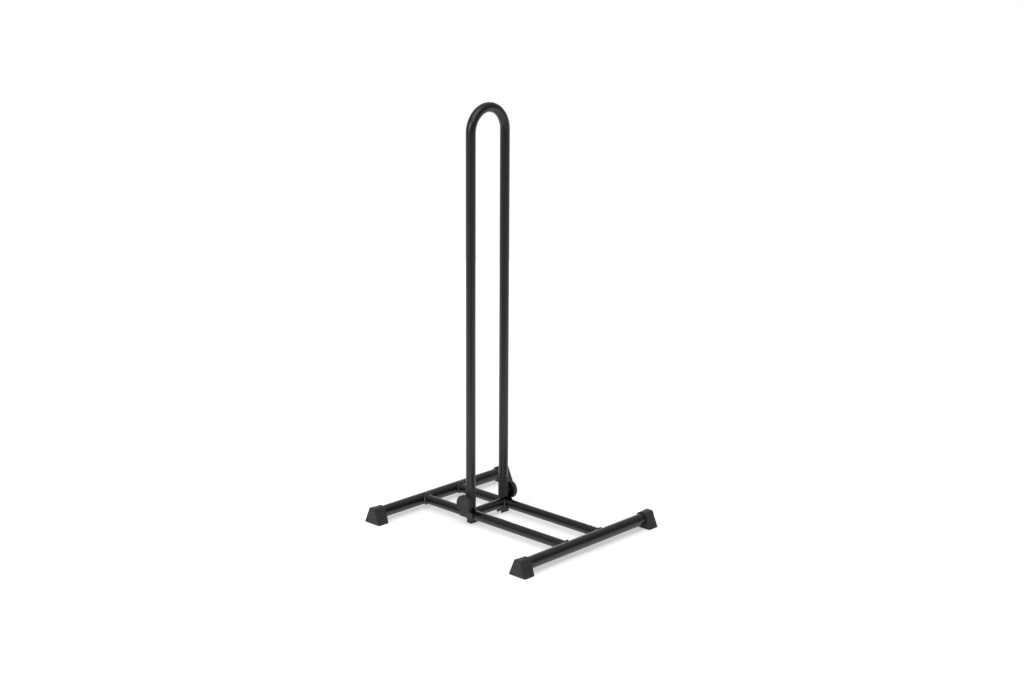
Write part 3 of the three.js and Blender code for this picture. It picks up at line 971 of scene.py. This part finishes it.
washerValues = {
    "friction": {"inner": 3.3, "outer": 7.5, "start": 11.25, "thickness": 0.5, "edge": 0.1},
    "clamp": {"inner": 3.3, "outer": 8.0, "start": 14.35, "thickness": 1.2, "edge": 0.2},
    "insert": {"inner": 3.3, "outer": 4.5, "start": 15.85, "thickness": 5.2, "edge": 0.3},
}


def ringShape(name, values):
    low, high, edge = values["start"], values["start"] + values["thickness"], values["edge"]
    inner, outer = values["inner"], values["outer"]
    ring = turn(name, [
        (inner, low + edge), (inner + edge, low), (outer - edge, low), (outer, low + edge),
        (outer, high - edge), (outer - edge, high), (inner + edge, high), (inner, high - edge),
    ])
    ring.data.transform(alongX)
    return ring


knobValues = {
    "radius": 20.0,
    "start": 14.35,
    "thickness": 9.8,
    "lobes": 20,
    "lobeDepth": 0.7,
    "lobePoints": 10,
    "faceRound": 1.3,
    "backRound": 0.4,
    "skirtWall": 2.1,
    "faceThickness": 2.4,
    "hubRadius": 7.5,
    "hubStart": 1.5,
    "ribs": 6,
    "ribWidth": 1.6,
    "ribDrop": 2.2,
    "boreRadius": 4.55,
    "boreDepth": 5.5,
    "dishRadius": 15.6,
    "dishSlope": 0.5,
    "dishDepth": 0.35,
    "overlap": 0.8,  # of the hub and ribs with the face and skirt
}


def knobShape(name, values):
    radius, height = values["radius"], values["thickness"]
    bm = bmesh.new()
    count = values["lobes"] * values["lobePoints"]
    rim = bmesh.ops.create_circle(bm, cap_ends=True, radius=radius, segments=count)["verts"]
    for vert in rim:
        angle = math.atan2(vert.co.y, vert.co.x)
        flute = values["lobeDepth"] * (1 - math.cos(values["lobes"] * angle)) / 2
        vert.co.xy *= (radius - flute) / radius
    faces = bm.faces[:]
    ease, faceRound, dish = values["backRound"], values["faceRound"], values["dishRadius"]
    bmesh.ops.scale(bm, vec=((radius - ease) / radius, (radius - ease) / radius, 1), verts=rim)
    levels = [(radius, ease), (radius, height - faceRound)]
    for turned in map(math.radians, (22.5, 45, 67.5, 90)):
        inward, down = (faceRound * (1 - wave(turned)) for wave in (math.cos, math.sin))
        levels.append((radius - inward, height - down))
    levels += [(dish + values["dishSlope"], height), (dish, height - values["dishDepth"])]
    width, level = radius - ease, 0
    for nextWidth, nextLevel in levels:
        faces = extrude(bm, faces, (0, 0, nextLevel - level))
        verts = list({vert for face in faces for vert in face.verts})
        bmesh.ops.scale(bm, vec=(nextWidth / width, nextWidth / width, 1), verts=verts)
        width, level = nextWidth, nextLevel
    bmesh.ops.recalc_face_normals(bm, faces=bm.faces)
    knob = newObject(name, bm)
    cavity = radius - values["lobeDepth"] - values["skirtWall"]
    depth = height - values["faceThickness"]
    combine(knob, "DIFFERENCE", cylinder("cavity", cavity, -1, depth, segments=96))
    far, top = cavity + values["overlap"], depth + values["overlap"]
    hub = cylinder("hub", values["hubRadius"], values["hubStart"], top)
    ribStart = values["hubStart"] + values["ribDrop"]
    half = values["ribWidth"] / 2
    for index in range(values["ribs"] // 2):
        rib = block("rib", (-far, -half, ribStart), (far, half, top))
        rib.data.transform(Matrix.Rotation(2 * math.pi * index / values["ribs"], 4, "Z"))
        combine(hub, "UNION", rib)
    combine(knob, "UNION", hub)
    bore = cylinder("bore", values["boreRadius"], 0, values["hubStart"] + values["boreDepth"])
    combine(knob, "DIFFERENCE", bore)
    knob.data.transform(alongX @ Matrix.Translation((0, 0, values["start"])))
    return knob


def addHinges():
    for side, sign in sides:
        leg = legPlace(sign)
        bolt = boltShape(f"{side}HingeBolt", boltValues)
        settle(bolt, leg, "hoop", "black_steel", blackSteel, f"{side}_hinge_bolt", sharp=30)
        friction = ringShape(f"{side}FrictionWasher", washerValues["friction"])
        settle(friction, leg, "hoop", "nylon", nylon, f"{side}_friction_washer")
        clamp = ringShape(f"{side}ClampWasher", washerValues["clamp"])
        settle(clamp, leg, f"{side}_washer", "zinc_steel", zincSteel, f"{side}_clamp_washer")
        knob = knobShape(f"{side}Knob", knobValues)
        settle(knob, leg, f"{side}_knob", "knob_plastic", knobPlastic, f"{side}_knob", sharp=40)
        insert = ringShape(f"{side}KnobInsert", washerValues["insert"])
        settle(insert, leg, f"{side}_knob", "brass", brass, f"{side}_knob_insert")


addHinges()
print("hinges made")


# ---- Floor, world and lamps ----

# Level directions as the camera sees them
viewRear = (0.7256, 0.6881, 0)
viewLeft = (-0.6881, 0.7256, 0)
viewRight = (0.6881, -0.7256, 0)

studioValues = {
    "floorSize": 3.6,
    "floorCentre": (0.62, 0.66),
    "floorColour": (0.66, 0.66, 0.66),  # as the light bounced onto the rack finds it
    "shownColour": (0.82, 0.82, 0.82),  # as the camera and its reflections see it
    "floorGlow": 0.45,  # for camera, glossy and transmission rays only
    "farGlow": (0.42, 0.25, 1.6),  # added away from the object, from one distance to another
    # White sheets round the object: towards, strength, and where each starts and is full
    "sheets": (
        ((0, 0, 1), 0.66, 0.5, 1.0),
        ((0, 0, -1), 0.54, 0.0, 0.12),
        (viewRear, 0.29, 0.0, 0.9),
        (viewRear, 1.00, 0.82, 0.97),
        (viewLeft, 0.38, 0.0, 0.9),
        (viewRight, 0.24, 0.0, 0.9),
    ),
}


def addFloor(values):
    bm = bmesh.new()
    bmesh.ops.create_grid(bm, x_segments=1, y_segments=1, size=values["floorSize"] / 2)
    turned = Matrix.Rotation(math.atan2(viewRear[1], viewRear[0]), 4, "Z")
    bmesh.ops.transform(bm, matrix=Matrix.Translation((*values["floorCentre"], 0)) @ turned, verts=bm.verts)
    floor = newObject("floor", bm)
    material, nodes, links, shader = startMaterial("floor")
    shader.inputs["Roughness"].default_value = 0.9
    shader.inputs["Specular IOR Level"].default_value = 0.0
    path = nodes.new("ShaderNodeLightPath")
    seen = path.outputs["Is Camera Ray"]
    for ray in ("Is Glossy Ray", "Is Transmission Ray"):
        either = nodes.new("ShaderNodeMath")
        either.operation = "MAXIMUM"
        links.new(seen, either.inputs[0])
        links.new(path.outputs[ray], either.inputs[1])
        seen = either.outputs["Value"]
    colour = blendColours(nodes, links, seen, values["floorColour"], values["shownColour"])
    links.new(colour, shader.inputs["Base Color"])
    extra, start, full = values["farGlow"]
    away = nodes.new("ShaderNodeVectorMath")
    away.operation = "LENGTH"
    links.new(nodes.new("ShaderNodeTexCoord").outputs["Object"], away.inputs[0])
    low, high = values["floorGlow"], values["floorGlow"] + extra
    glow = nodes.new("ShaderNodeMath")
    glow.operation = "MULTIPLY"
    links.new(seen, glow.inputs[0])
    links.new(mapTo(nodes, links, away.outputs["Value"], low, high, start, full), glow.inputs[1])
    emission = nodes.new("ShaderNodeEmission")
    links.new(glow.outputs["Value"], emission.inputs["Strength"])
    total = nodes.new("ShaderNodeAddShader")
    links.new(shader.outputs["BSDF"], total.inputs[0])
    links.new(emission.outputs["Emission"], total.inputs[1])
    links.new(total.outputs["Shader"], nodes["Material Output"].inputs["Surface"])
    floor.data.materials.append(material)


def addWorld(values):
    world = bpy.data.worlds.new("studio")
    world.use_nodes = True
    nodes, links = world.node_tree.nodes, world.node_tree.links
    direction = nodes.new("ShaderNodeTexCoord").outputs["Generated"]
    total = nodes.new("ShaderNodeValue").outputs["Value"]
    total.default_value = 0
    for towards, strength, start, full in values["sheets"]:
        product = nodes.new("ShaderNodeVectorMath")
        product.operation = "DOT_PRODUCT"
        links.new(direction, product.inputs[0])
        product.inputs[1].default_value = towards
        added = nodes.new("ShaderNodeMath")
        added.operation = "ADD"
        links.new(total, added.inputs[0])
        links.new(mapTo(nodes, links, product.outputs["Value"], 0, strength, start, full), added.inputs[1])
        total = added.outputs["Value"]
    white = nodes.new("ShaderNodeMix")
    links.new(nodes.new("ShaderNodeLightPath").outputs["Is Camera Ray"], white.inputs["Factor"])
    links.new(total, white.inputs["A"])
    white.inputs["B"].default_value = 1
    links.new(white.outputs["Result"], nodes["Background"].inputs["Strength"])
    nodes["Background"].inputs["Color"].default_value = (1, 1, 1, 1)
    scene.world = world


lampValues = {
    "leftLight": {"at": (-1.9, 0.0, 1.45), "aim": (0, 0.07, 0.6), "size": 1.0, "power": 14.5},
    "topLight": {"at": (-0.36, -0.28, 1.55), "aim": (0, 0.07, 0.85), "size": 0.9, "power": 4.6},
    "frontLight": {"at": (-1.6, -0.9, 1.5), "aim": (0, 0.07, 0.5), "size": 1.0, "power": 1.7},
}


def addLamps(lamps):
    for name, values in lamps.items():
        data = bpy.data.lights.new(name, "AREA")
        data.size = values["size"]
        data.energy = values["power"]
        lamp = bpy.data.objects.new(name, data)
        lamp.location = values["at"]
        aim = Vector(values["aim"]) - Vector(values["at"])
        lamp.rotation_euler = aim.to_track_quat("-Z", "Y").to_euler()
        scene.collection.objects.link(lamp)


addFloor(studioValues)
addWorld(studioValues)
addLamps(lampValues)
print("studio lit")
